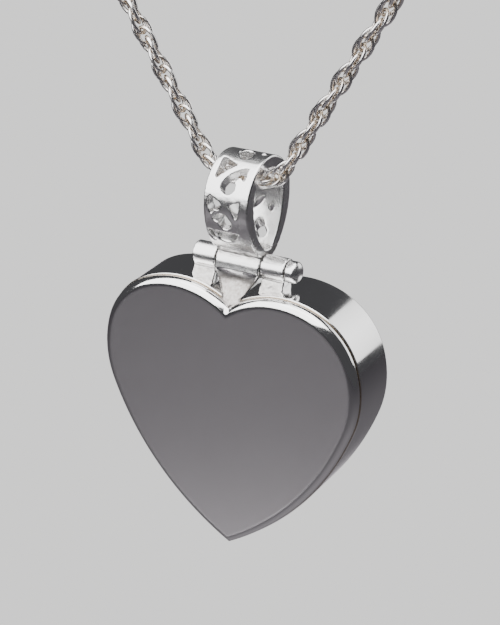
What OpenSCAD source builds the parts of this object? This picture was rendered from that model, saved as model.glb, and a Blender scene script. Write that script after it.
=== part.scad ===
// Heart locket on a rope chain, hanging as it is worn. The origin is the middle of the clasp, at the nape.
// +Z is up and -Y is the front. The pendant's own frame has its zero at the middle of the heart's depth,
// level with the centres of the two lobes, and is moved down to the chain as one.

/* [Heart] */
// Distance of each lobe's centre from the middle line
lobe_x = 4.9; // [4.7:0.1:5.1]
// Radius of the lobes
lobe_r = 6; // [5.8:0.1:6.2]
// How much wider than the lobe the arc at the notch is
notch_step = 1.5; // [1:0.5:2]
// How much wider than the lobe the shoulder arc is
shoulder_step = 2.5; // [2:0.5:3]
// How much wider than the shoulder the long arc to the tip is
flank_step = 15; // [13:0.5:17]
// Depth of the closed locket
depth = 5.4; // [5:0.1:6]

/* [Lid] */
// Thickness of the lid's plate
lid_t = 0.85; // [0.7:0.05:1]
// How far the lid's edge stays inside the case's edge
lid_inset = 0.1; // [0.05:0.05:0.2]
// Radius of the lid's rolled front edge
lid_roll = 0.5; // [0.3:0.05:0.6]
// Gap between the closed lid and the case
seam = 0.05; // [0.03:0.01:0.1]

/* [Case] */
// Thickness of the side wall
case_wall = 0.8; // [0.6:0.1:1]
// Thickness of the back
case_back = 0.8; // [0.6:0.1:1]
// Radius of the back's edge
case_roll = 0.3; // [0.2:0.05:0.4]

/* [Hinge] */
// Height of the hinge axis above the lobe centres
hinge_z = 7.45; // [7.3:0.05:7.6]
// Radius of the knuckles
knuckle_r = 0.95; // [0.85:0.05:1]
// Length of the lid's knuckle in the middle
middle_l = 3.7; // [3.4:0.1:4]
// Length of each of the case's knuckles
outer_l = 1.9; // [1.6:0.1:2.2]
// Gap between neighbouring knuckles
knuckle_gap = 0.1; // [0.05:0.05:0.15]
// Radius of the hinge pin
pin_r = 0.35; // [0.3:0.05:0.4]
// Clearance between the pin and its bores
pin_fit = 0.03; // [0.02:0.01:0.05]
// Radius of the pin's domed head
head_r = 0.85; // [0.75:0.05:0.9]
// Length of the pin's domed head
head_l = 1; // [0.8:0.1:1.2]
// Depth of the bracket under each of the case's knuckles, front to back
bracket_d = 2.3; // [2:0.1:2.5]

/* [Bail] */
// Width of the bail's band
bail_w = 3.7; // [3.4:0.1:3.7]
// Wall of the bail's band at its front and back
bail_t = 1.05; // [1:0.05:1.1]
// Radius of the bail's opening at the top
bail_r = 2.3; // [2.25:0.05:2.35]
// Height of that radius's centre above the lobe centres
bail_z = 12.65; // [12.5:0.05:12.8]
// How far the bail's middle sits behind the heart's middle
bail_back = 0.68; // [0.6:0.02:0.76]
// How far the chain sits behind the heart's middle
seat_back = 0.35; // [0.2:0.05:0.5]

/* [Chain] */
// Outer diameter of the twisted rope chain
chain_d = 1.5; // [1.3:0.1:1.5]
// Radius of the clasp at the nape
clasp_r = 1.5; // [1.3:0.1:1.8]
// Length of the clasp
clasp_l = 9.8; // [9:0.1:9.8]

/* [Hidden] */
$fn = 64;
// Directions in which neighbouring arcs of the outline meet: unit vectors, so that each join is smooth
notch_dir = [0.352, 0.936];
shoulder_dir = [0.96, 0.28];
flank_dir = [0.936, -0.352];
// Centres of the four arcs that make the right half
lobe_c = [lobe_x, 0];
notch_c = lobe_c - notch_step * notch_dir;
shoulder_c = lobe_c - shoulder_step * shoulder_dir;
flank_c = shoulder_c - flank_step * flank_dir;
reach = 30;
// Columns: centre of the arc, its radius, the wedge of the outline that it rounds
ARCS = [
  [notch_c, lobe_r + notch_step,
    [notch_c, notch_c + reach * notch_dir, [0, reach], [0, notch_c.y]]],
  [lobe_c, lobe_r,
    [lobe_c, lobe_c + reach * shoulder_dir, lobe_c + reach * notch_dir]],
  [shoulder_c, lobe_r + shoulder_step,
    [shoulder_c, shoulder_c + reach * flank_dir, shoulder_c + reach * shoulder_dir]],
  [flank_c, lobe_r + shoulder_step + flank_step,
    [shoulder_c, shoulder_c + reach * flank_dir, [0, -reach], [0, shoulder_c.y]]],
];
lid_back = -depth / 2 + lid_t;
case_front = lid_back + seam;
case_d = depth / 2 - case_front;
bore_r = pin_r + pin_fit;
outer_x = middle_l / 2 + knuckle_gap;
// Gap between the pin's head and the knuckle beside it
head_gap = 0.05;
// The leaf joins the lid at the notch to the middle knuckle: half widths and levels of its front view
leaf_tip_w = 0.35;
leaf_tip_z = 4.4;
leaf_side_z = 7;
leaf_top_z = 7.6;
// Its side view: front, back, heel under the knuckle, and the wide scoop that hollows its face
leaf_front = -2.45;
leaf_behind = -1.9;
leaf_heel = [0, 6.6];
scoop_c = [-6, 8.4];
scoop_r = 5.1;
// Gap that the leaf keeps above the case's rim
leaf_gap = 0.15;
// The brackets stand in the lobes' wall and reach up to the knuckles
bracket_low = 5.4;
bracket_top = 6.75;
// Below their round tops, the bail's opening and outside narrow in arcs about centres this far beyond the middle
inner_offset = 3;
outer_offset = 2;
// The outside's middle is lower than the opening's, which thins the wall over the chain
outer_drop = 0.15;
// The opening's blunt lower end
low_z = -2.2;
low_r = 1.85;
// The piercing runs between these distances from the bail's middle
cut_near = 1.7;
cut_far = 5;
// Route of the right half of the chain's centre line, seen from the front: x, z and the radius of the bend
ROUTE = [
  [0, -172.1, 0],
  [2.6, -172.1, 1.2],
  [106, 0, 57],
  [5, 0, 0],
];
seat_z = ROUTE[0][1];
// The chain hangs this far inside the bail's round opening, and so this far above its middle
seat_r = bail_r - chain_d / 2 - 0.1;
seat_rise = sqrt(pow(seat_r, 2) - pow(bail_back - seat_back, 2));
heart_z = seat_z - (bail_z + seat_rise);
chain_sides = 8;
// Rings along each bend and along each straight stretch
bend_rings = [0, 5, 21, 0];
straight_rings = [1, 11, 1];

// Everything that hangs on the chain, moved from the pendant's own frame to its place
module hung() {
  translate([0, -seat_back, heart_z]) children();
}

// Stands a drawing of x and z upright: it grows from y0 towards the front
module forward(y0) {
  translate([0, y0, 0]) rotate([90, 0, 0]) children();
}

// The same, growing from y0 towards the back
module backward(y0) {
  translate([0, y0, 0]) rotate([90, 0, 180]) children();
}

// Lays a drawing of y and z across the pendant, w wide about the middle
module across(w) {
  translate([-w / 2, 0, 0]) rotate([90, 0, 90]) linear_extrude(w) children();
}

module both_sides() {
  children();
  mirror([1, 0, 0]) children();
}

// The heart's outline, inset from its edge
module heart(inset) {
  both_sides() for (arc = ARCS) intersection() {
    translate(arc[0]) circle(arc[1] - inset);
    polygon(arc[2]);
  }
}

// Half section of a disc whose upper edge is rounded
module disc_section(r, t, roll) {
  square([r - roll, t]);
  translate([r - roll, 0]) square([roll, t - roll]);
  translate([r - roll, t - roll]) intersection() {
    circle(roll);
    square(roll);
  }
}

// A heart plate whose upper edge is rounded along the whole outline
module rolled_heart(inset, t, roll) {
  both_sides() for (arc = ARCS) intersection() {
    translate(arc[0]) rotate_extrude() disc_section(arc[1] - inset, t, roll);
    linear_extrude(t) polygon(arc[2]);
  }
}

module hinge_cylinder(r, x0, l) {
  translate([x0, 0, hinge_z]) rotate([0, 90, 0]) cylinder(r = r, h = l);
}

// The triangular leaf that carries the middle knuckle: its underside follows the case's rim
module leaf() {
  half_w = middle_l / 2;
  difference() {
    intersection() {
      forward(0) linear_extrude(depth) polygon([
        [-half_w, leaf_top_z], [-half_w, leaf_side_z], [-leaf_tip_w, leaf_tip_z],
        [leaf_tip_w, leaf_tip_z], [half_w, leaf_side_z], [half_w, leaf_top_z],
      ]);
      across(middle_l) difference() {
        polygon([
          [leaf_front, leaf_tip_z], [leaf_behind, leaf_tip_z], leaf_heel,
          [leaf_heel.x, leaf_top_z], [leaf_front, leaf_top_z],
        ]);
        translate(scoop_c) circle(scoop_r);
      }
    }
    backward(leaf_behind) linear_extrude(depth) heart(-leaf_gap);
  }
}

// Side view of a round top over a lower part that narrows to a point
module drop_section(r, offset) {
  intersection() {
    circle(r);
    translate([-reach / 2, 0]) square([reach, reach]);
  }
  intersection() {
    translate([offset, 0]) circle(r + offset);
    translate([-offset, 0]) circle(r + offset);
    translate([-reach / 2, -reach]) square([reach, reach]);
  }
}

module bail_section() {
  difference() {
    translate([0, -outer_drop]) drop_section(bail_r + bail_t, outer_offset);
    intersection() {
      drop_section(bail_r, inner_offset);
      union() {
        translate([0, low_z]) circle(low_r);
        translate([-reach / 2, low_z]) square([reach, reach]);
      }
    }
  }
}

// A cut through the band's front wall, turned up by a given angle about the bail's middle
module front_cut(up) {
  rotate([-up, 0, 0]) translate([0, -cut_near, 0]) rotate([90, 0, 0]) linear_extrude(cut_far - cut_near) children();
}

// The same through the back wall
module back_cut(up) {
  rotate([up, 0, 0]) translate([0, cut_far, 0]) rotate([90, 0, 0]) linear_extrude(cut_far - cut_near) children();
}

// A lens between two points, bulging by r on both sides
module lens(a, b, r) {
  middle = (a + b) / 2;
  side = [a.y - b.y, b.x - a.x] / norm(b - a);
  back = sqrt(r * r - pow(norm(b - a) / 2, 2));
  intersection() {
    translate(middle + back * side) circle(r);
    translate(middle - back * side) circle(r);
  }
}

module comma() {
  translate([-0.03, -0.76]) circle(0.58);
  lens([-0.6, -0.7], [1.14, 0.93], 2.4);
  polygon([[0.3, -0.6], [0.46, -0.16], [0.67, 0.02], [0.87, -0.03], [1.16, -0.28], [1.08, 0.84], [0, -0.2]]);
}

module left_leaf() {
  lens([-1.36, 0.66], [-1.16, -0.7], 1);
  translate([-0.78, -0.03]) circle(0.36);
  polygon([[-1.3, 0.6], [-0.46, 0.16], [-0.85, -0.3]]);
}

module curl() {
  translate([-0.13, 0]) circle(0.52);
  lens([-1.18, 0.3], [0.21, 0.46], 0.9);
}

module half_moon() {
  intersection() {
    translate([-0.3, 0.85]) circle(1.08);
    translate([-1.02, -1]) square([2.5, 1.77]);
  }
  polygon([[0.2, 0.77], [0.98, 0.77], [0.1, 0.05]]);
}

module sliver() {
  polygon([[-1.66, 0.78], [-1.28, 0.82], [-1.2, 0.35], [-1.22, -0.3], [-1.45, -0.26], [-1.64, 0.24]]);
}

module kidney() {
  translate([0.25, -0.17]) circle(0.38);
  translate([0.58, -0.68]) circle(0.42);
}

module tear() {
  translate([0.9, -0.28]) circle(0.2);
  polygon([[0.72, -0.24], [1.06, 0.2], [1.08, -0.3]]);
}

// The scrollwork cut through the band
module scrollwork() {
  front_cut(58) polygon([[-1.23, -1.23], [-1.33, 0.78], [0.04, 0.21]]);
  front_cut(42) comma();
  front_cut(2) polygon([[0.26, 0.22], [1.14, 0.45], [0.86, -1]]);
  front_cut(2) left_leaf();
  front_cut(-22) curl();
  front_cut(-47) half_moon();
  front_cut(-47) sliver();
  back_cut(85) translate([-0.05, 0.15]) circle(0.58);
  back_cut(85) translate([0.2, 0.7]) circle(0.45);
  back_cut(68) polygon([[0.95, 0.3], [1.5, 0.85], [1.1, 1]]);
  back_cut(44) translate([-0.3, -0.1]) comma();
  back_cut(2) left_leaf();
  back_cut(-27) lens([-0.75, -0.95], [0.3, 0.28], 2);
  back_cut(-34) tear();
  back_cut(-60) kidney();
  back_cut(-55) translate([-0.8, 0]) circle(0.34);
}

module bail() {
  translate([0, bail_back, bail_z]) difference() {
    across(bail_w) bail_section();
    scrollwork();
  }
}

// The lid's plate, the leaf, the middle knuckle and the bail, soldered together
module lid_and_bail() color("silver") hung() {
  difference() {
    union() {
      forward(lid_back) rolled_heart(lid_inset, lid_t, lid_roll);
      leaf();
      hinge_cylinder(knuckle_r, -middle_l / 2, middle_l);
      bail();
    }
    hinge_cylinder(bore_r, -middle_l, 2 * middle_l);
  }
}

// The hollow heart behind the lid, with the two brackets and knuckles that hold the pin
module case() color("silver") hung() {
  difference() {
    union() {
      backward(case_front) rolled_heart(0, case_d, case_roll);
      both_sides() {
        translate([outer_x, case_front, bracket_low]) cube([outer_l, bracket_d, bracket_top - bracket_low]);
        hinge_cylinder(knuckle_r, outer_x, outer_l);
      }
    }
    backward(case_front - 1) linear_extrude(case_d - case_back + 1) heart(case_wall);
    hinge_cylinder(bore_r, -outer_x - 2 * outer_l, 2 * outer_x + 4 * outer_l);
  }
}

// The pin, with a domed head beyond the right knuckle
module hinge_pin() color("gainsboro") hung() {
  pin_l = 2 * (outer_x + outer_l) + head_gap;
  translate([outer_x + outer_l + head_gap, 0, hinge_z]) rotate([0, 90, 0]) rotate_extrude() {
    translate([0, -pin_l]) square([pin_r, pin_l]);
    square([head_r, head_l / 2]);
    translate([0, head_l / 2]) intersection() {
      square([head_r, head_l / 2]);
      translate([0, head_l / 2 - head_r]) circle(head_r);
    }
  }
}

function unit(v) = v / norm(v);
function place(i) = [ROUTE[i][0], ROUTE[i][1]];
function way(i) = unit(place(i + 1) - place(i));
function left_of(v) = [-v.y, v.x];
function half_turn(i) = acos(way(i - 1) * way(i)) / 2;
// How far before and after a corner its bend begins and ends
function run_in(i) = i == 0 || i == len(ROUTE) - 1 ? 0 : ROUTE[i][2] * tan(half_turn(i));
// Rings of a bend: each is a point and the way the chain runs there
function bend(i) =
  let (a = 2 * half_turn(i), d = way(i - 1), start = place(i) - d * run_in(i), n = left_of(d), r = ROUTE[i][2])
  [for (k = [0 : bend_rings[i]])
    let (t = a * k / bend_rings[i])
    [start + r * (sin(t) * d + (1 - cos(t)) * n), cos(t) * d + sin(t) * n]];
// Rings of the straight stretch after point i, without those of the bends at its ends
function straight(i) =
  let (a = place(i) + way(i) * run_in(i), b = place(i + 1) - way(i) * run_in(i + 1), m = straight_rings[i])
  [for (k = [1 : m - 1]) [a + (b - a) * k / m, way(i)]];
RINGS = concat([[place(0), way(0)]], straight(0), bend(1), straight(1), bend(2), straight(2), [[place(3), way(2)]]);

// Half of the chain as one tube of the rope's outer diameter
module chain_half() {
  points = [for (ring = RINGS, k = [0 : chain_sides - 1])
    let (a = 360 * (k + 0.5) / chain_sides, n = left_of(ring[1]), out = chain_d / 2 * cos(a))
    [ring[0].x + out * n.x, chain_d / 2 * sin(a), ring[0].y + out * n.y]];
  last = len(points) - chain_sides;
  start_cap = [[for (k = [0 : chain_sides - 1]) k]];
  end_cap = [[for (k = [chain_sides - 1 : -1 : 0]) last + k]];
  walls = [for (i = [0 : len(RINGS) - 2], k = [0 : chain_sides - 1])
    let (a = i * chain_sides + k, b = i * chain_sides + (k + 1) % chain_sides)
    [a, a + chain_sides, b + chain_sides, b]];
  polyhedron(points, concat(start_cap, end_cap, walls));
}

module chain_right() color("lightgray") chain_half();

module chain_left() color("lightgray") mirror([1, 0, 0]) chain_half();

// A plain round clasp at the nape, hidden in use
module clasp() color("silver") {
  translate([-clasp_l / 2, 0, 0]) rotate([0, 90, 0]) cylinder(r = clasp_r, h = clasp_l);
}

lid_and_bail();
case();
hinge_pin();
chain_left();
chain_right();
clasp();
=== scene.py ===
import math
import bmesh
import bpy
from mathutils import Matrix, Vector, noise


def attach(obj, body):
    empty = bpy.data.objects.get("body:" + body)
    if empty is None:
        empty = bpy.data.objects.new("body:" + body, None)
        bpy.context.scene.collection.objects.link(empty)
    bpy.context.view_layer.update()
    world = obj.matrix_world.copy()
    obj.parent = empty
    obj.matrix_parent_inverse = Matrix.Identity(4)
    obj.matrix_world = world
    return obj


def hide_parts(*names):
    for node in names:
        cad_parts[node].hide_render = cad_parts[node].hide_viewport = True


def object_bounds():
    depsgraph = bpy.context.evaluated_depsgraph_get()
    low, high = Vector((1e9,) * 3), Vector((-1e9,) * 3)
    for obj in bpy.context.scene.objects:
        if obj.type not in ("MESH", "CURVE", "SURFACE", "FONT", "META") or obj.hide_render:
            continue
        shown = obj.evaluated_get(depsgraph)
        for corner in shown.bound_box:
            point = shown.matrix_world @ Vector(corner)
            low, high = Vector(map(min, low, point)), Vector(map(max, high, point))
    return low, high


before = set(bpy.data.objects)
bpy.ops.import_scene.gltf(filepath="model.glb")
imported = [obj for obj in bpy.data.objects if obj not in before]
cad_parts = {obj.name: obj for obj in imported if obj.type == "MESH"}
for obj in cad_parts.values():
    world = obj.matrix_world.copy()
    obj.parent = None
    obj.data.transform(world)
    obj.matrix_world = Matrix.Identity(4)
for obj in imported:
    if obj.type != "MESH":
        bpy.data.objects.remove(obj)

mm = 0.001
cadBox = [list(corner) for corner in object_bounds()]
print("frame loaded")

# the view of the photograph: angles in degrees, lengths in mm, clipping in metres
view = {
    "target": (0, -2.55, -186.162),
    "azimuth": 29.54,
    "elevation": 26.32,
    "roll": -0.35,
    "distance": 158.8,
    "focalPixels": 2100,
    "targetPixel": (229.1, 361.8),
    "image": (500, 625),
    "sensor": 36,
    "clipping": (0.01, 20),
}


def makeCamera(view):
    azimuth, elevation, roll = (math.radians(view[key]) for key in ("azimuth", "elevation", "roll"))
    level = math.cos(elevation)
    back = Vector((math.sin(azimuth) * level, -math.cos(azimuth) * level, math.sin(elevation)))
    right = Vector((math.cos(azimuth), math.sin(azimuth), 0))
    up = back.cross(right)
    rolledRight = math.cos(roll) * right + math.sin(roll) * up
    rolledUp = math.cos(roll) * up - math.sin(roll) * right
    width, height = view["image"]
    data = bpy.data.cameras.new("camera")
    data.sensor_fit = "VERTICAL"
    data.sensor_width = data.sensor_height = view["sensor"]
    data.lens = view["sensor"] * view["focalPixels"] / height
    data.shift_x = (width / 2 - view["targetPixel"][0]) / height
    data.shift_y = (view["targetPixel"][1] - height / 2) / height
    data.clip_start, data.clip_end = view["clipping"]
    camera = bpy.data.objects.new("camera", data)
    turn = Matrix((rolledRight, rolledUp, back)).transposed().to_4x4()
    place = (Vector(view["target"]) + back * view["distance"]) * mm
    camera.matrix_world = Matrix.Translation(place) @ turn
    bpy.context.scene.collection.objects.link(camera)
    bpy.context.scene.camera = camera


makeCamera(view)
print("camera made")

# floor and lights: lengths in metres, power in watts, angles in degrees
studio = {
    "floorDrop": 1.6,
    "floorSize": 12,
    "floorColour": (0.80, 0.755, 0.80),
    "floorRoughness": 0.85,
    "worldColour": (0.06, 0.06, 0.064),
    "worldStrength": 1.0,
    "groundColour": (1.0, 0.997, 0.99),
    "groundStrength": 1.15,
    "lights": (
        # name, direction from the locket, distance, width, height, turn about its own axis, power, spread
        ("skySoftbox", (-0.25, -0.39, 0.887), 0.36, 0.55, 1.05, 0, 7.5, 180),
        ("sideSoftbox", (0.442, 0.856, 0.268), 0.40, 0.30, 0.31, -29, 0.22, 110),
    ),
    "lamps": (
        # name, place, size, power, spread: they face down
        ("backFloor", (-1.9, 3.35, 1.4), 0.8, 30, 60),
        ("frontFloor", (-1.58, -2.78, 0.2), 0.5, 1.25, 90),
        ("nearFloor", (-1.15, -2.03, -0.72), 0.35, 0.74, 60),
        ("ceiling", (0, 0, 2.4), 2.4, 15, 180),
    ),
}


def addLight(name, place, turn, size, power, spread):
    data = bpy.data.lights.new(name, "AREA")
    data.shape = "RECTANGLE"
    data.size, data.size_y = size
    data.energy = power
    data.spread = math.radians(spread)
    light = bpy.data.objects.new(name, data)
    light.matrix_world = Matrix.Translation(place) @ turn.to_4x4()
    bpy.context.scene.collection.objects.link(light)


def paleGround(studio, tree, kind, shader, output):
    # seen directly, the ground is even and pale from every side
    # what the metal reflects is the lit floor and the dim room
    pale = tree.nodes.new(kind)
    pale.inputs["Color"].default_value = (*studio["groundColour"], 1)
    pale.inputs["Strength"].default_value = studio["groundStrength"]
    ray = tree.nodes.new("ShaderNodeLightPath")
    mix = tree.nodes.new("ShaderNodeMixShader")
    tree.links.new(ray.outputs["Is Camera Ray"], mix.inputs[0])
    tree.links.new(shader.outputs[0], mix.inputs[1])
    tree.links.new(pale.outputs[0], mix.inputs[2])
    tree.links.new(mix.outputs[0], tree.nodes[output].inputs["Surface"])


def makeFloor(studio):
    bm = bmesh.new()
    bmesh.ops.create_grid(bm, x_segments=1, y_segments=1, size=studio["floorSize"] / 2)
    bmesh.ops.translate(bm, verts=bm.verts, vec=(0, 0, cadBox[0][2] - studio["floorDrop"]))
    mesh = bpy.data.meshes.new("floor")
    bm.to_mesh(mesh)
    bm.free()
    floor = bpy.data.objects.new("floor", mesh)
    bpy.context.scene.collection.objects.link(floor)
    material = bpy.data.materials.new("floorPaper")
    material.use_nodes = True
    shader = material.node_tree.nodes["Principled BSDF"]
    shader.inputs["Base Color"].default_value = (*studio["floorColour"], 1)
    shader.inputs["Roughness"].default_value = studio["floorRoughness"]
    paleGround(studio, material.node_tree, "ShaderNodeEmission", shader, "Material Output")
    mesh.materials.append(material)


def makeStudio(studio):
    makeFloor(studio)
    world = bpy.data.worlds.new("studio")
    world.use_nodes = True
    background = world.node_tree.nodes["Background"]
    background.inputs["Color"].default_value = (*studio["worldColour"], 1)
    background.inputs["Strength"].default_value = studio["worldStrength"]
    paleGround(studio, world.node_tree, "ShaderNodeBackground", background, "World Output")
    bpy.context.scene.world = world
    middle = Vector(view["target"]) * mm
    for name, direction, distance, width, height, turn, power, spread in studio["lights"]:
        direction = Vector(direction).normalized()
        facing = (-direction).to_track_quat("-Z", "Y").to_matrix()
        facing = facing @ Matrix.Rotation(math.radians(turn), 3, "Z")
        addLight(name, middle + direction * distance, facing, (width, height), power, spread)
    for name, place, size, power, spread in studio["lamps"]:
        addLight(name, Vector(place), Matrix.Identity(3), (size, size), power, spread)


makeStudio(studio)
print("floor and lights made")


def addNode(tree, kind, **values):
    # a value is the node's own setting or else the start value of an input
    node = tree.nodes.new("ShaderNode" + kind)
    for key, value in values.items():
        if hasattr(node, key):
            setattr(node, key, value)
        else:
            node.inputs[key].default_value = value
    return node


def plug(tree, value, socket):
    # a value is another node's output or a number
    if hasattr(value, "is_output"):
        tree.links.new(value, socket)
    else:
        socket.default_value = value


def mathNode(tree, operation, *values, clamp=False):
    node = addNode(tree, "Math", operation=operation, use_clamp=clamp)
    for socket, value in zip(node.inputs, values):
        plug(tree, value, socket)
    return node.outputs[0]


def noiseOf(tree, vector, scale, detail, roughness):
    node = addNode(tree, "TexNoise", Scale=scale, Detail=detail, Roughness=roughness)
    tree.links.new(vector, node.inputs["Vector"])
    return node.outputs[0]


def newGroup(name, inputs, outputs):
    group = bpy.data.node_groups.new(name, "ShaderNodeTree")
    group.interface.new_socket("Vector", in_out="INPUT", socket_type="NodeSocketVector")
    for label, value in inputs:
        socket = group.interface.new_socket(label, in_out="INPUT", socket_type="NodeSocketFloat")
        socket.default_value = value
    for label in outputs:
        group.interface.new_socket(label, in_out="OUTPUT", socket_type="NodeSocketFloat")
    return group, group.nodes.new("NodeGroupInput"), group.nodes.new("NodeGroupOutput")


# the patterns that all the silver shares: each stroke is a turn in radians and a stretch,
# and each noise is its scale per mm, detail and roughness
patterns = {
    "strokes": (((0, 0.6, 0.5), (26, 1.1, 1.1)), ((0.4, -0.5, 2.1), (34, 1.5, 1.5))),
    "strokeNoise": (1, 3, 0.6),
    "smudgeNoise": (0.35, 4, 0.6),
    "wearNoise": (3.5, 3, 0.6),
    "cloudNoise": (0.8, 4, 0.6),
    "cloudStart": 0.42,
    "grainNoise": (5, 2, 0.5),
    "noiseMiddle": 0.5,
}


def makePolish(patterns):
    # fine buffing marks in two directions and cloudy smudges
    group, enter, leave = newGroup("polishMarks", (("Marks", 1), ("Smudge", 1)), ("Roughness", "Height"))
    fields = []
    for turn, stretch in patterns["strokes"]:
        mapping = addNode(group, "Mapping", Rotation=turn, Scale=stretch)
        group.links.new(enter.outputs["Vector"], mapping.inputs["Vector"])
        fields.append(noiseOf(group, mapping.outputs[0], *patterns["strokeNoise"]))
    marks = mathNode(group, "ADD", *fields)
    marks = mathNode(group, "SUBTRACT", marks, 2 * patterns["noiseMiddle"])
    marks = mathNode(group, "MULTIPLY", marks, enter.outputs["Marks"])
    cloud = noiseOf(group, enter.outputs["Vector"], *patterns["smudgeNoise"])
    cloud = mathNode(group, "SUBTRACT", cloud, patterns["noiseMiddle"])
    cloud = mathNode(group, "MULTIPLY", cloud, enter.outputs["Smudge"])
    group.links.new(mathNode(group, "ADD", marks, cloud), leave.inputs["Roughness"])
    group.links.new(marks, leave.inputs["Height"])
    return group


def makeWear(patterns):
    # rubbed edges: the edge value of the mesh, broken up by a noise
    group, enter, leave = newGroup("edgeWear", (("Edge", 0), ("Breaks", 0.4)), ("Mask",))
    rough = noiseOf(group, enter.outputs["Vector"], *patterns["wearNoise"])
    rough = mathNode(group, "SUBTRACT", rough, patterns["noiseMiddle"])
    breaks, edge = enter.outputs["Breaks"], enter.outputs["Edge"]
    rough = mathNode(group, "MULTIPLY_ADD", rough, breaks, edge, clamp=True)
    group.links.new(rough, leave.inputs["Mask"])
    return group


def makeShadeAndTarnish(patterns):
    # tarnish where polish doesn't reach and painted shade at seams, in crevices and under the knuckles: the
    # mesh's value for both, and faint clouds of tarnish
    group, enter, leave = newGroup("shadeAndTarnishGroup", (("Hollow", 0), ("Clouds", 0.1)), ("Mask",))
    cloud = noiseOf(group, enter.outputs["Vector"], *patterns["cloudNoise"])
    cloud = mathNode(group, "SUBTRACT", cloud, patterns["cloudStart"])
    cloud = mathNode(group, "MULTIPLY", cloud, enter.outputs["Clouds"])
    grain = noiseOf(group, enter.outputs["Vector"], *patterns["grainNoise"])
    grain = mathNode(group, "ADD", grain, patterns["noiseMiddle"])
    deep = mathNode(group, "MULTIPLY", enter.outputs["Hollow"], grain)
    group.links.new(mathNode(group, "ADD", cloud, deep, clamp=True), leave.inputs["Mask"])
    return group


polishMarks, edgeWear, shadeAndTarnishGroup = makePolish(patterns), makeWear(patterns), makeShadeAndTarnish(patterns)

# the finishes: bump in mm; the dull colour stands for tarnish, and on the lid, case, knuckles and bail also
# for painted shade
looks = {
    "polishedSilver": {
        "clean": (0.93, 0.925, 0.92), "worn": (0.98, 0.975, 0.97), "shadedAndTarnished": (0.62, 0.55, 0.47),
        "roughness": 0.13, "wornRoughness": 0.09, "shadedAndTarnishedRoughness": 0.22,
        "marks": 0.05, "smudge": 0.10, "clouds": 0.12, "breakUp": 0.5, "bump": 0.004,
    },
    "bailSilver": {
        "clean": (0.93, 0.925, 0.92), "worn": (0.98, 0.975, 0.97), "shadedAndTarnished": (0.32, 0.285, 0.26),
        "roughness": 0.25, "wornRoughness": 0.16, "shadedAndTarnishedRoughness": 0.42,
        "marks": 0.08, "smudge": 0.14, "clouds": 0.25, "breakUp": 0.5, "bump": 0.006,
    },
    "chainSilver": {
        "clean": (0.92, 0.90, 0.89), "worn": (0.98, 0.965, 0.96), "shadedAndTarnished": (0.74, 0.62, 0.48),
        "roughness": 0.24, "wornRoughness": 0.18, "shadedAndTarnishedRoughness": 0.34,
        "marks": 0.06, "smudge": 0.08, "clouds": 0.2, "breakUp": 0.4, "bump": 0.003,
    },
}


def mixNode(tree, kind, mask, first, second):
    # a Mix node keeps its numbers in sockets 2 and 3 and its colours in sockets 6 and 7
    node = addNode(tree, "Mix", data_type=kind)
    start, result = {"FLOAT": (2, 0), "RGBA": (6, 2)}[kind]
    tree.links.new(mask, node.inputs[0])
    plug(tree, first, node.inputs[start])
    plug(tree, second, node.inputs[start + 1])
    return node.outputs[result]


def placeGroup(tree, group, place, **values):
    node = addNode(tree, "Group", node_tree=group)
    tree.links.new(place, node.inputs["Vector"])
    for key, value in values.items():
        plug(tree, value, node.inputs[key])
    return node


def makeSilver(name, look):
    material = bpy.data.materials.new(name)
    material.use_nodes = True
    tree = material.node_tree
    shader = tree.nodes["Principled BSDF"]
    shader.inputs["Metallic"].default_value = 1
    coordinates = addNode(tree, "TexCoord")
    inMillimetres = addNode(tree, "Mapping", Scale=(1 / mm, 1 / mm, 1 / mm))
    tree.links.new(coordinates.outputs["Object"], inMillimetres.inputs["Vector"])
    place = inMillimetres.outputs[0]
    edge = addNode(tree, "Attribute", attribute_name="edge").outputs["Fac"]
    hollow = addNode(tree, "Attribute", attribute_name="hollow").outputs["Fac"]
    polish = placeGroup(tree, polishMarks, place, Marks=look["marks"], Smudge=look["smudge"])
    worn = placeGroup(tree, edgeWear, place, Breaks=look["breakUp"], Edge=edge).outputs["Mask"]
    # this mask darkens the colour with tarnish and with painted shade
    shadedAndTarnished = placeGroup(tree, shadeAndTarnishGroup, place, Clouds=look["clouds"], Hollow=hollow).outputs["Mask"]
    colour = mixNode(tree, "RGBA", shadedAndTarnished, (*look["clean"], 1), (*look["shadedAndTarnished"], 1))
    colour = mixNode(tree, "RGBA", worn, colour, (*look["worn"], 1))
    roughness = mixNode(tree, "FLOAT", shadedAndTarnished, look["roughness"], look["shadedAndTarnishedRoughness"])
    roughness = mixNode(tree, "FLOAT", worn, roughness, look["wornRoughness"])
    roughness = mathNode(tree, "ADD", roughness, polish.outputs["Roughness"], clamp=True)
    bump = addNode(tree, "Bump", Strength=1, Distance=look["bump"] * mm)
    tree.links.new(polish.outputs["Height"], bump.inputs["Height"])
    tree.links.new(colour, shader.inputs["Base Color"])
    tree.links.new(roughness, shader.inputs["Roughness"])
    tree.links.new(bump.outputs[0], shader.inputs["Normal"])
    return material


silver = {name: makeSilver(name, look) for name, look in looks.items()}
for name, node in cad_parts.items():
    node.data.materials.clear()
    node.data.materials.append(silver["chainSilver" if name.startswith("chain") else "polishedSilver"])
print("materials made")


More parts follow.
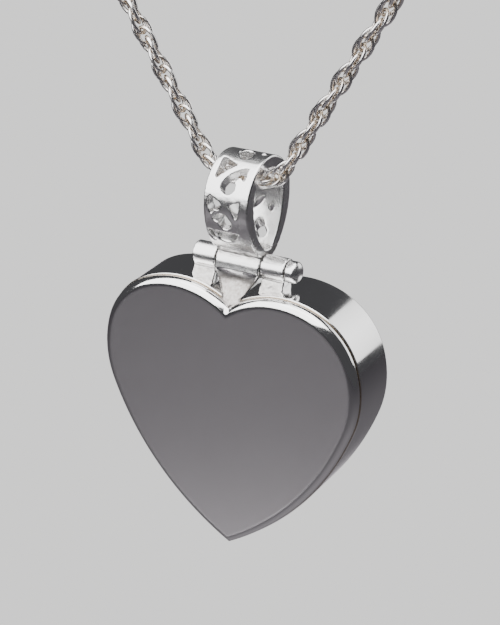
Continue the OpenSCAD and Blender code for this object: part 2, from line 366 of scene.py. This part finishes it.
def finishPiece(name, bm, material, body, slot, *nodes, crease, evenShading=False):
    # from mm to a finished object; edges that bend by more than crease degrees stay sharp
    bmesh.ops.scale(bm, vec=(mm, mm, mm), verts=bm.verts)
    for face in bm.faces:
        face.smooth = True
    for edge in bm.edges:
        edge.smooth = edge.calc_face_angle(0) < math.radians(crease)
    openEdges = sum(not edge.is_manifold for edge in bm.edges)
    mesh = bpy.data.meshes.new(name)
    bm.to_mesh(mesh)
    bm.free()
    mesh.materials.append(silver[material])
    piece = bpy.data.objects.new(name, mesh)
    bpy.context.scene.collection.objects.link(piece)
    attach(piece, body)
    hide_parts(*nodes)
    if evenShading:
        # flat faces stay flat beside small roundings
        modifier = piece.modifiers.new("evenShading", "WEIGHTED_NORMAL")
        modifier.keep_sharp = True
    print(name, len(mesh.polygons), "faces", openEdges, "open edges")


def clamped(value):
    return max(0, min(1, value))


def markPoints(bm, name, value):
    layer = bm.verts.layers.float.new(name)
    for vert in bm.verts:
        vert[layer] = value(vert)


def markEdges(bm, value):
    # how far each point lies on a rounded edge that wears, from 0 to 1
    markPoints(bm, "edge", value)


def markHollows(bm, value):
    # how dark each point is, from 0 to 1: tarnish in grooves that polish doesn't reach, and painted shade
    # at seams, in crevices and under the knuckles
    markPoints(bm, "hollow", value)


# the heart: lengths in mm; every height and depth is counted from the middle between the lobes
heart = {
    "middle": (0, -0.35, -186.162),
    "lobe": (4.9, 0, 6),    # centre and radius
    "notchStep": 1.5,
    "shoulderStep": 2.5,
    "flankStep": 15,
    "notchDirection": (0.352, 0.936),
    "shoulderDirection": (0.96, 0.28),
    "flankDirection": (0.936, -0.352),
    "spacing": 0.3,
    "tolerance": 1e-6,
}


def heartArcs(heart, inset):
    # centre, radius, start and end angle of each arc of the right half, from the notch down to the tip
    x, z, radius = heart["lobe"]
    ways = [heart[key] for key in ("notchDirection", "shoulderDirection", "flankDirection")]
    lobe = Vector((x, z))
    notch = lobe - heart["notchStep"] * Vector(ways[0])
    shoulder = lobe - heart["shoulderStep"] * Vector(ways[1])
    flank = shoulder - heart["flankStep"] * Vector(ways[2])
    wide = radius + heart["shoulderStep"]
    radii = [radius + heart["notchStep"], radius, wide, wide + heart["flankStep"]]
    radii = [each - inset for each in radii]
    first = math.acos(-notch.x / radii[0])
    last = -math.acos(-flank.x / radii[3])
    angles = [first, *(math.atan2(up, across) for across, up in ways), last]
    return list(zip((notch, lobe, shoulder, flank), radii, angles, angles[1:]))


def heartOutline(bm, inset, depth):
    # each arc has the same number of steps whatever the inset, so that outlines can be bridged
    whole = heartArcs(heart, 0)
    steps = [round((start - end) * radius / heart["spacing"]) for _, radius, start, end in whole]
    arcs = list(zip(heartArcs(heart, inset), steps))
    centre, radius, start, _ = arcs[0][0]
    first = bm.verts.new((0, depth, centre.y + radius * math.sin(start)))
    last = [first]
    for side, run in ((1, arcs), (-1, arcs[::-1])):
        for (centre, _, start, end), count in run:
            turned = bmesh.ops.spin(bm, geom=last, cent=(side * centre.x, depth, centre.y),
                                    axis=(0, 1, 0), angle=start - end, steps=count)
            last = [item for item in turned["geom_last"] if isinstance(item, bmesh.types.BMVert)]
    bmesh.ops.pointmerge(bm, verts=[last[0], first], merge_co=first.co)
    tolerance = heart["tolerance"]
    return [edge for edge in bm.edges if all(abs(vert.co.y - depth) < tolerance for vert in edge.verts)]


def heartShell(bm, rings):
    # closes a heart-shaped body from outlines given by inset and depth
    # they stand 1 mm apart while they are bridged, and move to their depths afterwards
    loops = [heartOutline(bm, inset, place) for place, (inset, _) in enumerate(rings)]
    for first, second in zip(loops, loops[1:]):
        bmesh.ops.bridge_loops(bm, edges=first + second)
    for place, (loop, (_, depth)) in enumerate(zip(loops, rings)):
        verts = list({vert for edge in loop for vert in edge.verts})
        bmesh.ops.translate(bm, verts=verts, vec=(0, depth - place, 0))
    for loop in (loops[0], loops[-1]):
        made = bmesh.ops.contextual_create(bm, geom=loop)
        bmesh.ops.poke(bm, faces=made["faces"])
    bmesh.ops.recalc_face_normals(bm, faces=bm.faces)


def rollRings(inset, depth, roll, steps, inward):
    # a quarter round from the side of the heart to its face; inward is the direction of the face
    quarter = [math.pi / 2 * k / steps for k in range(steps + 1)]
    return [(inset + roll * (1 - math.cos(t)), depth + inward * roll * (math.sin(t) - 1)) for t in quarter]


def hang(bm):
    bmesh.ops.translate(bm, verts=bm.verts, vec=heart["middle"])


# the lid's plate, with its face towards the front: lengths in mm
lidPlate = {
    "back": -1.85,
    "face": -2.7,
    "inset": 0.1,
    "roll": 0.6,
    "rollSteps": 10,
    "seam": 0.12,
    "seamSteps": 3,
    "supports": (0.12, 0.24, 0.48),    # outlines that keep the flat faces flat
    "wearDepth": 0.15,
    "wearReach": 0.3,
    "flat": 1e-4,
}


def makeLid(values):
    bm = bmesh.new()
    back, face, inset = values["back"], values["face"], values["inset"]
    near, middle, far = values["supports"]
    roll = rollRings(inset, face, values["roll"], values["rollSteps"], -1)
    seam = rollRings(inset, back, values["seam"], values["seamSteps"], 1)[::-1]
    edge = roll[-1][0]
    rings = [(inset + far, back), (inset + middle, back), *seam]
    rings += [*roll, (edge + near, face), (edge + far, face)]
    heartShell(bm, rings)

    def wear(vert):
        fromFace = abs(vert.co.y - face)
        reach = max(0, 1 - abs(vert.co.y - face - values["wearDepth"]) / values["wearReach"])
        return reach * (fromFace > values["flat"])

    markEdges(bm, wear)
    # painted shade: darker along the back edge where the lid meets the case
    markHollows(bm, lambda vert: max(0, 1 - abs(vert.co.y - back) / values["seam"]))
    hang(bm)
    finishPiece("lid", bm, "polishedSilver", "pendant", "silver", "lid_and_bail", crease=60,
                evenShading=True)


# the hollow heart behind the lid: lengths in mm
caseShell = {
    "front": -1.8,
    "back": 2.7,
    "wall": 0.8,
    "floor": 1.9,
    "roll": 0.3,
    "rollSteps": 7,
    "rim": 0.1,
    "rimSteps": 4,
    "supports": (0.12, 0.48),    # outlines that keep the flat faces flat
    "seamShadeDepth": 0.02,
}


def makeCase(values):
    bm = bmesh.new()
    front, back, wall, floor = (values[key] for key in ("front", "back", "wall", "floor"))
    near, far = values["supports"]
    rim = rollRings(0, front, values["rim"], values["rimSteps"], -1)
    inner = [(wall - inset, depth) for inset, depth in rim]
    roll = rollRings(0, back, values["roll"], values["rollSteps"], 1)
    edge = roll[-1][0]
    rings = [(wall + far, floor), (wall + near, floor), (wall, floor), *inner, *rim[::-1]]
    rings += [*roll, (edge + near, back), (edge + far, back)]
    heartShell(bm, rings)
    markEdges(bm, lambda vert: max(0, 1 - abs(vert.co.y - front - values["rim"]) / values["rim"]))
    # painted shade: the case's front face at the seam is darker
    markHollows(bm, lambda vert: abs(vert.co.y - front) < values["seamShadeDepth"])
    hang(bm)
    finishPiece("case_shell", bm, "polishedSilver", "locket_back", "silver", "case", crease=60,
                evenShading=True)


def remeshed(bm, voxel):
    mesh = bpy.data.meshes.new("rough")
    bm.to_mesh(mesh)
    bm.free()
    rough = bpy.data.objects.new("rough", mesh)
    bpy.context.scene.collection.objects.link(rough)
    modifier = rough.modifiers.new("remesh", "REMESH")
    modifier.mode = "VOXEL"
    modifier.voxel_size = voxel
    bpy.context.view_layer.update()
    done = rough.evaluated_get(bpy.context.evaluated_depsgraph_get()).to_mesh()
    bm = bmesh.new()
    bm.from_mesh(done)
    bpy.data.objects.remove(rough)
    bpy.data.meshes.remove(mesh)
    return bm


def soften(bm, verts, times):
    for _ in range(times):
        bmesh.ops.smooth_vert(bm, verts=verts, factor=0.5,
                              use_axis_x=True, use_axis_y=True, use_axis_z=True)


def lumps(vert, coarse, fine):
    return noise.noise(vert.co * coarse) + 0.5 * noise.noise(vert.co * fine)


# the hinge's outer knuckles and the brackets soldered under them: lengths in mm
hinge = {
    "height": 7.45,
    "radius": 0.95,
    "bore": 0.38,
    "near": 1.95,
    "far": 3.85,
    "turnSteps": 48,
    "bracketFront": -1.7,
    "bracketBack": 0.5,
    "bracketLow": 4.9,
    "bracketTop": 6.8,
    "slope": 1.05,
    "cornerReach": 0.01,
    "voxel": 0.05,
    "smoothing": 3,
    "solderSmoothing": 14,
    "solderOverlap": 0.12,
    "solder": 0.05,
    "solderStart": 0.6,    # below the pin
    "solderFade": 0.5,
    "lumpSizes": (1.7, 4.3),
    "unevenness": 0.005,
    "wearReach": 0.15,
    "paintedShade": 0.55,
    "paintedShadeStart": 0.45,    # below the pin
    "paintedShadeFade": 0.4,
}


def turnAboutPin(bm, geometry):
    bmesh.ops.spin(bm, geom=geometry, cent=(0, 0, hinge["height"]), axis=(1, 0, 0), angle=math.tau,
                   steps=hinge["turnSteps"], use_merge=True)


def makeKnuckle(name, values, side):
    bm = bmesh.new()
    near, far = values["near"] * side, values["far"] * side
    height, radius = values["height"], values["radius"]
    section = ((near, values["bore"]), (near, radius), (far, radius), (far, values["bore"]))
    corners = [bm.verts.new((x, 0, height + r)) for x, r in section]
    turnAboutPin(bm, corners + [bm.edges.new((corners[i - 1], corners[i])) for i in (1, 2, 3, 0)])
    front, behind = values["bracketFront"], values["bracketBack"]
    low, top = values["bracketLow"], values["bracketTop"]
    block = bmesh.ops.create_cube(bm, size=1)["verts"]
    bmesh.ops.scale(bm, vec=(abs(far - near), behind - front, top - low), verts=block)
    bmesh.ops.translate(bm, verts=block, vec=((near + far) / 2, (front + behind) / 2, (low + top) / 2))
    corner = values["cornerReach"]
    frontTop = [vert for vert in block if vert.co.z > top - corner and vert.co.y < front + corner]
    bmesh.ops.translate(bm, verts=frontTop, vec=(0, values["slope"], 0))
    bmesh.ops.recalc_face_normals(bm, faces=bm.faces)
    bm = remeshed(bm, values["voxel"])
    soften(bm, bm.verts, values["smoothing"])
    inner = radius - values["solderOverlap"]
    under = [vert for vert in bm.verts if vert.co.z < height]
    under = [vert for vert in under if math.hypot(vert.co.y, vert.co.z - height) > inner]
    soften(bm, under, values["solderSmoothing"])
    bm.normal_update()
    for vert in bm.verts:
        solder = clamped((height - values["solderStart"] - vert.co.z) / values["solderFade"])
        lump = lumps(vert, *values["lumpSizes"])
        vert.co += vert.normal * lump * (values["solder"] * solder + values["unevenness"])

    def wear(vert):
        fromEnd = min(abs(vert.co.x - near), abs(vert.co.x - far))
        return max(0, 1 - fromEnd / values["wearReach"])

    # painted shade: the lower knuckle and the bracket under it are darker below the pin
    def shadedAndTarnished(vert):
        return values["paintedShade"] * clamped((height - values["paintedShadeStart"] - vert.co.z) / values["paintedShadeFade"])

    markEdges(bm, wear)
    markHollows(bm, shadedAndTarnished)
    hang(bm)
    finishPiece(name, bm, "bailSilver", "locket_back", "silver", "case", crease=180)


# the pin through the knuckles, with its domed head at the right: lengths in mm
pin = {
    "end": -3.85,
    "radius": 0.35,
    "neck": 3.9,
    "head": 0.85,
    "shoulder": 4.42,
    "tip": 4.9,
    "round": 0.1,
    "roundCorner": 0.3,    # how far the rounding's middle point lies along it
    "domeSteps": 8,
    "domePower": 0.7,    # under 1 is blunter than a round dome
    "merge": 1e-4,
    "wear": 0.6,
    "wearReach": 0.2,
    "hollowPast": 0.02,
}


def makePin(values):
    bm = bmesh.new()
    end, radius, neck, head = (values[key] for key in ("end", "radius", "neck", "head"))
    shoulder, tip, power, steps = (values[key] for key in ("shoulder", "tip", "domePower", "domeSteps"))
    roundness, corner = values["round"], values["roundCorner"] * values["round"]
    points = [(end, 0), (end, radius), (neck, radius)]
    points += [(neck, head - roundness), (neck + corner, head - corner), (neck + roundness, head)]
    quarter = [math.pi / 2 * k / steps for k in range(steps + 1)]
    points += [(shoulder + (tip - shoulder) * math.sin(t), head * math.cos(t) ** power) for t in quarter]
    verts = [bm.verts.new((x, 0, hinge["height"] + r)) for x, r in points]
    turnAboutPin(bm, verts + [bm.edges.new(pair) for pair in zip(verts, verts[1:])])
    bmesh.ops.remove_doubles(bm, verts=bm.verts, dist=values["merge"])
    bmesh.ops.recalc_face_normals(bm, faces=bm.faces)
    markEdges(bm, lambda vert: values["wear"] * (abs(vert.co.x - shoulder) < values["wearReach"]))
    markHollows(bm, lambda vert: vert.co.x < neck + values["hollowPast"])
    hang(bm)
    finishPiece("pin", bm, "bailSilver", "locket_back", "silver", "hinge_pin", crease=50,
                evenShading=True)


# the bail, the middle knuckle and the leaf, cast and soldered: lengths in mm
bail = {
    "merge": 0.002,
    "halfWidth": 1.86,
    "notchHeight": 4.72,
    "notchSlope": 0.55,
    "cutDistance": 1e-5,
    "sink": 0.35,    # how deep the leaf's foot stands in the lid
    "sinkReach": 0.12,
    "voxel": 0.062,
    "smoothing": 4,
    "leafSmoothing": 9,
    "leafTop": 6.9,
    "leafFade": 0.4,
    "scoopHeight": 5.95,
    "scoopReach": 1.15,
    "scoopDepth": 0.4,
    "scoopFacing": -0.3,
    "scoopFront": -0.5,
    "jointHeight": 8.35,
    "jointSpread": 0.55,
    "solder": 0.08,
    "unevenness": 0.005,
    "lumpSizes": (2.3, 6.1),
    "mottle": 0.02,
    "mottleSizes": (1.1, 2.7),
    "wearDepth": 0.025,    # how far smoothing moves a fully worn edge
    "hollowStart": 0.3,    # in wear depths, the other way
    "hollowDullness": 0.7,
    "jointDullness": 0.5,
    "leafShade": 0.75,
}


def cutBail(values):
    # the CAD solid without its plate: a CAD mesh is loose triangles, so its copy is merged
    bm = bmesh.new()
    bm.from_mesh(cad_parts["lid_and_bail"].data)
    bmesh.ops.scale(bm, vec=(1 / mm, 1 / mm, 1 / mm), verts=bm.verts)
    bmesh.ops.translate(bm, verts=bm.verts, vec=-Vector(heart["middle"]))
    bmesh.ops.remove_doubles(bm, verts=bm.verts, dist=values["merge"])
    half, notch, slope = values["halfWidth"], values["notchHeight"], values["notchSlope"]
    for place, normal in (
        ((half, 0, 0), (-1, 0, 0)),
        ((-half, 0, 0), (1, 0, 0)),
        ((0, 0, notch), (-slope, 0, 1)),
        ((0, 0, notch), (slope, 0, 1)),
    ):
        bmesh.ops.bisect_plane(bm, geom=bm.verts[:] + bm.edges[:] + bm.faces[:], dist=values["cutDistance"],
                               plane_co=place, plane_no=normal, clear_inner=True)
        bmesh.ops.holes_fill(bm, edges=[edge for edge in bm.edges if edge.is_boundary], sides=0)
    return bm


def makeBail(values):
    bm = remeshed(cutBail(values), values["voxel"])
    foot = values["notchHeight"] + values["sinkReach"]
    for vert in bm.verts:
        if vert.co.z < foot + values["notchSlope"] * abs(vert.co.x):
            vert.co.z -= values["sink"]
    edgeLayer = bm.verts.layers.float.new("edge")
    hollowLayer = bm.verts.layers.float.new("hollow")
    sharp = [vert.co.copy() for vert in bm.verts]
    soften(bm, bm.verts, values["smoothing"])
    soften(bm, [vert for vert in bm.verts if vert.co.z < values["leafTop"]], values["leafSmoothing"])
    bm.normal_update()
    for vert in bm.verts:
        rise = (vert.co.z - values["scoopHeight"]) / values["scoopReach"]
        across = vert.co.x / values["halfWidth"]
        inFront = vert.normal.y < values["scoopFacing"] and vert.co.y < values["scoopFront"]
        if abs(rise) < 1 and inFront:
            vert.co.y += values["scoopDepth"] * (1 - rise ** 2) * (1 - across ** 2)
    bm.normal_update()
    for vert, before in zip(bm.verts, sharp):
        z = vert.co.z
        moved = 0
        if z > values["leafTop"]:
            moved = (before - vert.co).dot(vert.normal) / values["wearDepth"]
        vert[edgeLayer] = clamped(moved)
        # concave crevices are darker: tarnish and painted shade
        inside = clamped(-moved - values["hollowStart"]) * values["hollowDullness"]
        joint = max(0, 1 - abs(z - values["jointHeight"]) / values["jointSpread"])
        leaf = clamped((values["leafTop"] - z) / values["leafFade"])
        # painted shade darkens the whole leaf under the middle knuckle
        vert[hollowLayer] = min(1, inside + values["jointDullness"] * joint + values["leafShade"] * leaf)
        uneven = lumps(vert, *values["lumpSizes"]) * (values["solder"] * joint + values["unevenness"])
        mottled = lumps(vert, *values["mottleSizes"]) * values["mottle"] * leaf
        vert.co += vert.normal * (uneven + mottled)
    hang(bm)
    finishPiece("bail", bm, "bailSilver", "pendant", "silver", "lid_and_bail", crease=180)


makeLid(lidPlate)
makeCase(caseShell)
makeKnuckle("knuckle_left", hinge, -1)
makeKnuckle("knuckle_right", hinge, 1)
makePin(pin)
makeBail(bail)
print("locket made")

# the rope chain: lengths in mm, angles in degrees
# the route is the right strand's, seen from the front: its corners as x, z and bend radius
rope = {
    "route": ((0, -172.1, 0), (2.6, -172.1, 2.0), (106, 0, 57), (5, 0, 0)),
    "routeStep": 0.3,
    "bendSteps": 8,
    "tolerance": 1e-6,
    "pitch": 0.8,
    "start": 108,
    "turn": 225,
    "length": 2.33,
    "width": 1.5,
    "wire": 0.285,
    "lean": 84.3,
    "tilt": 73.7,
    "roll": 76.2,
    "reach": 1.2,
    "ease": 0.35,
    "ringSides": 16,
    "wireSides": 6,
    "wearStart": 0.5,    # from the rope's middle line
    "wearFade": 0.25,
    "hollowFade": 0.35,
}


def routePoints(rope):
    # straight runs between the corners and fine steps round each bend
    corners = [Vector((x, 0, z)) for x, z, _ in rope["route"]]
    points = [corners[0]]
    for a, b, c, (_, _, radius) in zip(corners, corners[1:], corners[2:], rope["route"][1:]):
        inward, outward = (a - b).normalized(), (c - b).normalized()
        half = inward.angle(outward) / 2
        start = b + inward * (radius / math.tan(half))
        middle = b + (inward + outward).normalized() * (radius / math.sin(half))
        sweep = math.pi - 2 * half
        normal = inward.cross(outward).normalized()
        count = max(rope["bendSteps"], int(radius * sweep / rope["routeStep"]))
        if (start - points[-1]).length > rope["tolerance"]:
            points.append(start)
        turns = [Matrix.Rotation(-sweep * k / count, 3, normal) for k in range(1, count + 1)]
        points += [middle + turn @ (start - middle) for turn in turns]
    return points + [corners[-1]]


def makeLink(rope):
    # a round ring of radius 1, then stretched to the link's oval round the wire's middle line
    bm = bmesh.new()
    bmesh.ops.create_circle(bm, segments=rope["wireSides"], radius=rope["wire"] / 2)
    bmesh.ops.rotate(bm, verts=bm.verts, cent=(0, 0, 0), matrix=Matrix.Rotation(math.pi / 2, 3, "X"))
    bmesh.ops.translate(bm, verts=bm.verts, vec=(1, 0, 0))
    bmesh.ops.spin(bm, geom=bm.edges[:], cent=(0, 0, 0), axis=(0, 0, 1), angle=math.tau,
                   steps=rope["ringSides"], use_merge=True)
    halfLength, halfWidth = (rope["length"] - rope["wire"]) / 2, (rope["width"] - rope["wire"]) / 2
    for vert in bm.verts:
        angle = math.atan2(vert.co.y, vert.co.x)
        out = math.hypot(vert.co.x, vert.co.y) - 1
        middle = Vector((halfWidth * math.cos(angle), halfLength * math.sin(angle), 0))
        normal = Vector((halfLength * math.cos(angle), halfWidth * math.sin(angle), 0)).normalized()
        vert.co = middle + normal * out + Vector((0, 0, vert.co.z))
    bmesh.ops.recalc_face_normals(bm, faces=bm.faces)
    lean, tilt, roll = (math.radians(rope[key]) for key in ("lean", "tilt", "roll"))
    tipped = Matrix.Rotation(tilt, 3, "Y")
    flat, steep = tipped @ Vector((1, 0, 0)), tipped @ Vector((0, math.cos(lean), math.sin(lean)))
    across = flat * math.cos(roll) + steep * math.sin(roll)
    along = steep * math.cos(roll) - flat * math.sin(roll)
    turn = Matrix((across, along, across.cross(along))).transposed().to_4x4()
    bmesh.ops.transform(bm, matrix=turn, verts=bm.verts)
    markEdges(bm, lambda vert: clamped((vert.co.xy.length - rope["wearStart"]) / rope["wearFade"]))
    markHollows(bm, lambda vert: clamped((rope["wearStart"] - vert.co.xy.length) / rope["hollowFade"]))
    link = bpy.data.meshes.new("link")
    bm.to_mesh(link)
    bm.free()
    return link


def placeOn(points, distance):
    # the point at a distance along the route, which runs straight on past its ends
    for a, b in zip(points, points[1:]):
        length = (b - a).length
        if distance <= length or b is points[-1]:
            return a + (b - a) * (distance / length)
        distance -= length


def makeRope(name, node, rope, side):
    points = [Vector((point.x * side, point.y, point.z)) for point in routePoints(rope)]
    total = sum((b - a).length for a, b in zip(points, points[1:]))
    count = round(total / rope["pitch"])
    pitch = total / count
    link = makeLink(rope)
    across = Vector((0, 1, 0))
    bm = bmesh.new()
    for i in range(count):
        # a stiff link points from one place on the route to another and lies a little inside a bend
        distance = (i + 0.5) * pitch
        behind = placeOn(points, distance - rope["reach"])
        before = placeOn(points, distance + rope["reach"])
        centre = placeOn(points, distance).lerp((behind + before) / 2, rope["ease"])
        # both strands follow one direction, so that the twist runs on through the bail
        ahead = (before - behind).normalized() * side
        stand = Matrix((across.cross(ahead), across, ahead)).transposed().to_4x4()
        turn = Matrix.Rotation(math.radians(rope["start"] + rope["turn"] * (i + 0.5) * side), 4, "Z")
        made = len(bm.verts)
        bm.from_mesh(link)
        bm.verts.ensure_lookup_table()
        bmesh.ops.transform(bm, matrix=Matrix.Translation(centre) @ stand @ turn, verts=bm.verts[made:])
    bpy.data.meshes.remove(link)
    print(name, count, "links", round(total, 1), "mm")
    finishPiece(name, bm, "chainSilver", "necklace", "chain", node, crease=180)


makeRope("rope_left", "chain_left", rope, -1)
makeRope("rope_right", "chain_right", rope, 1)
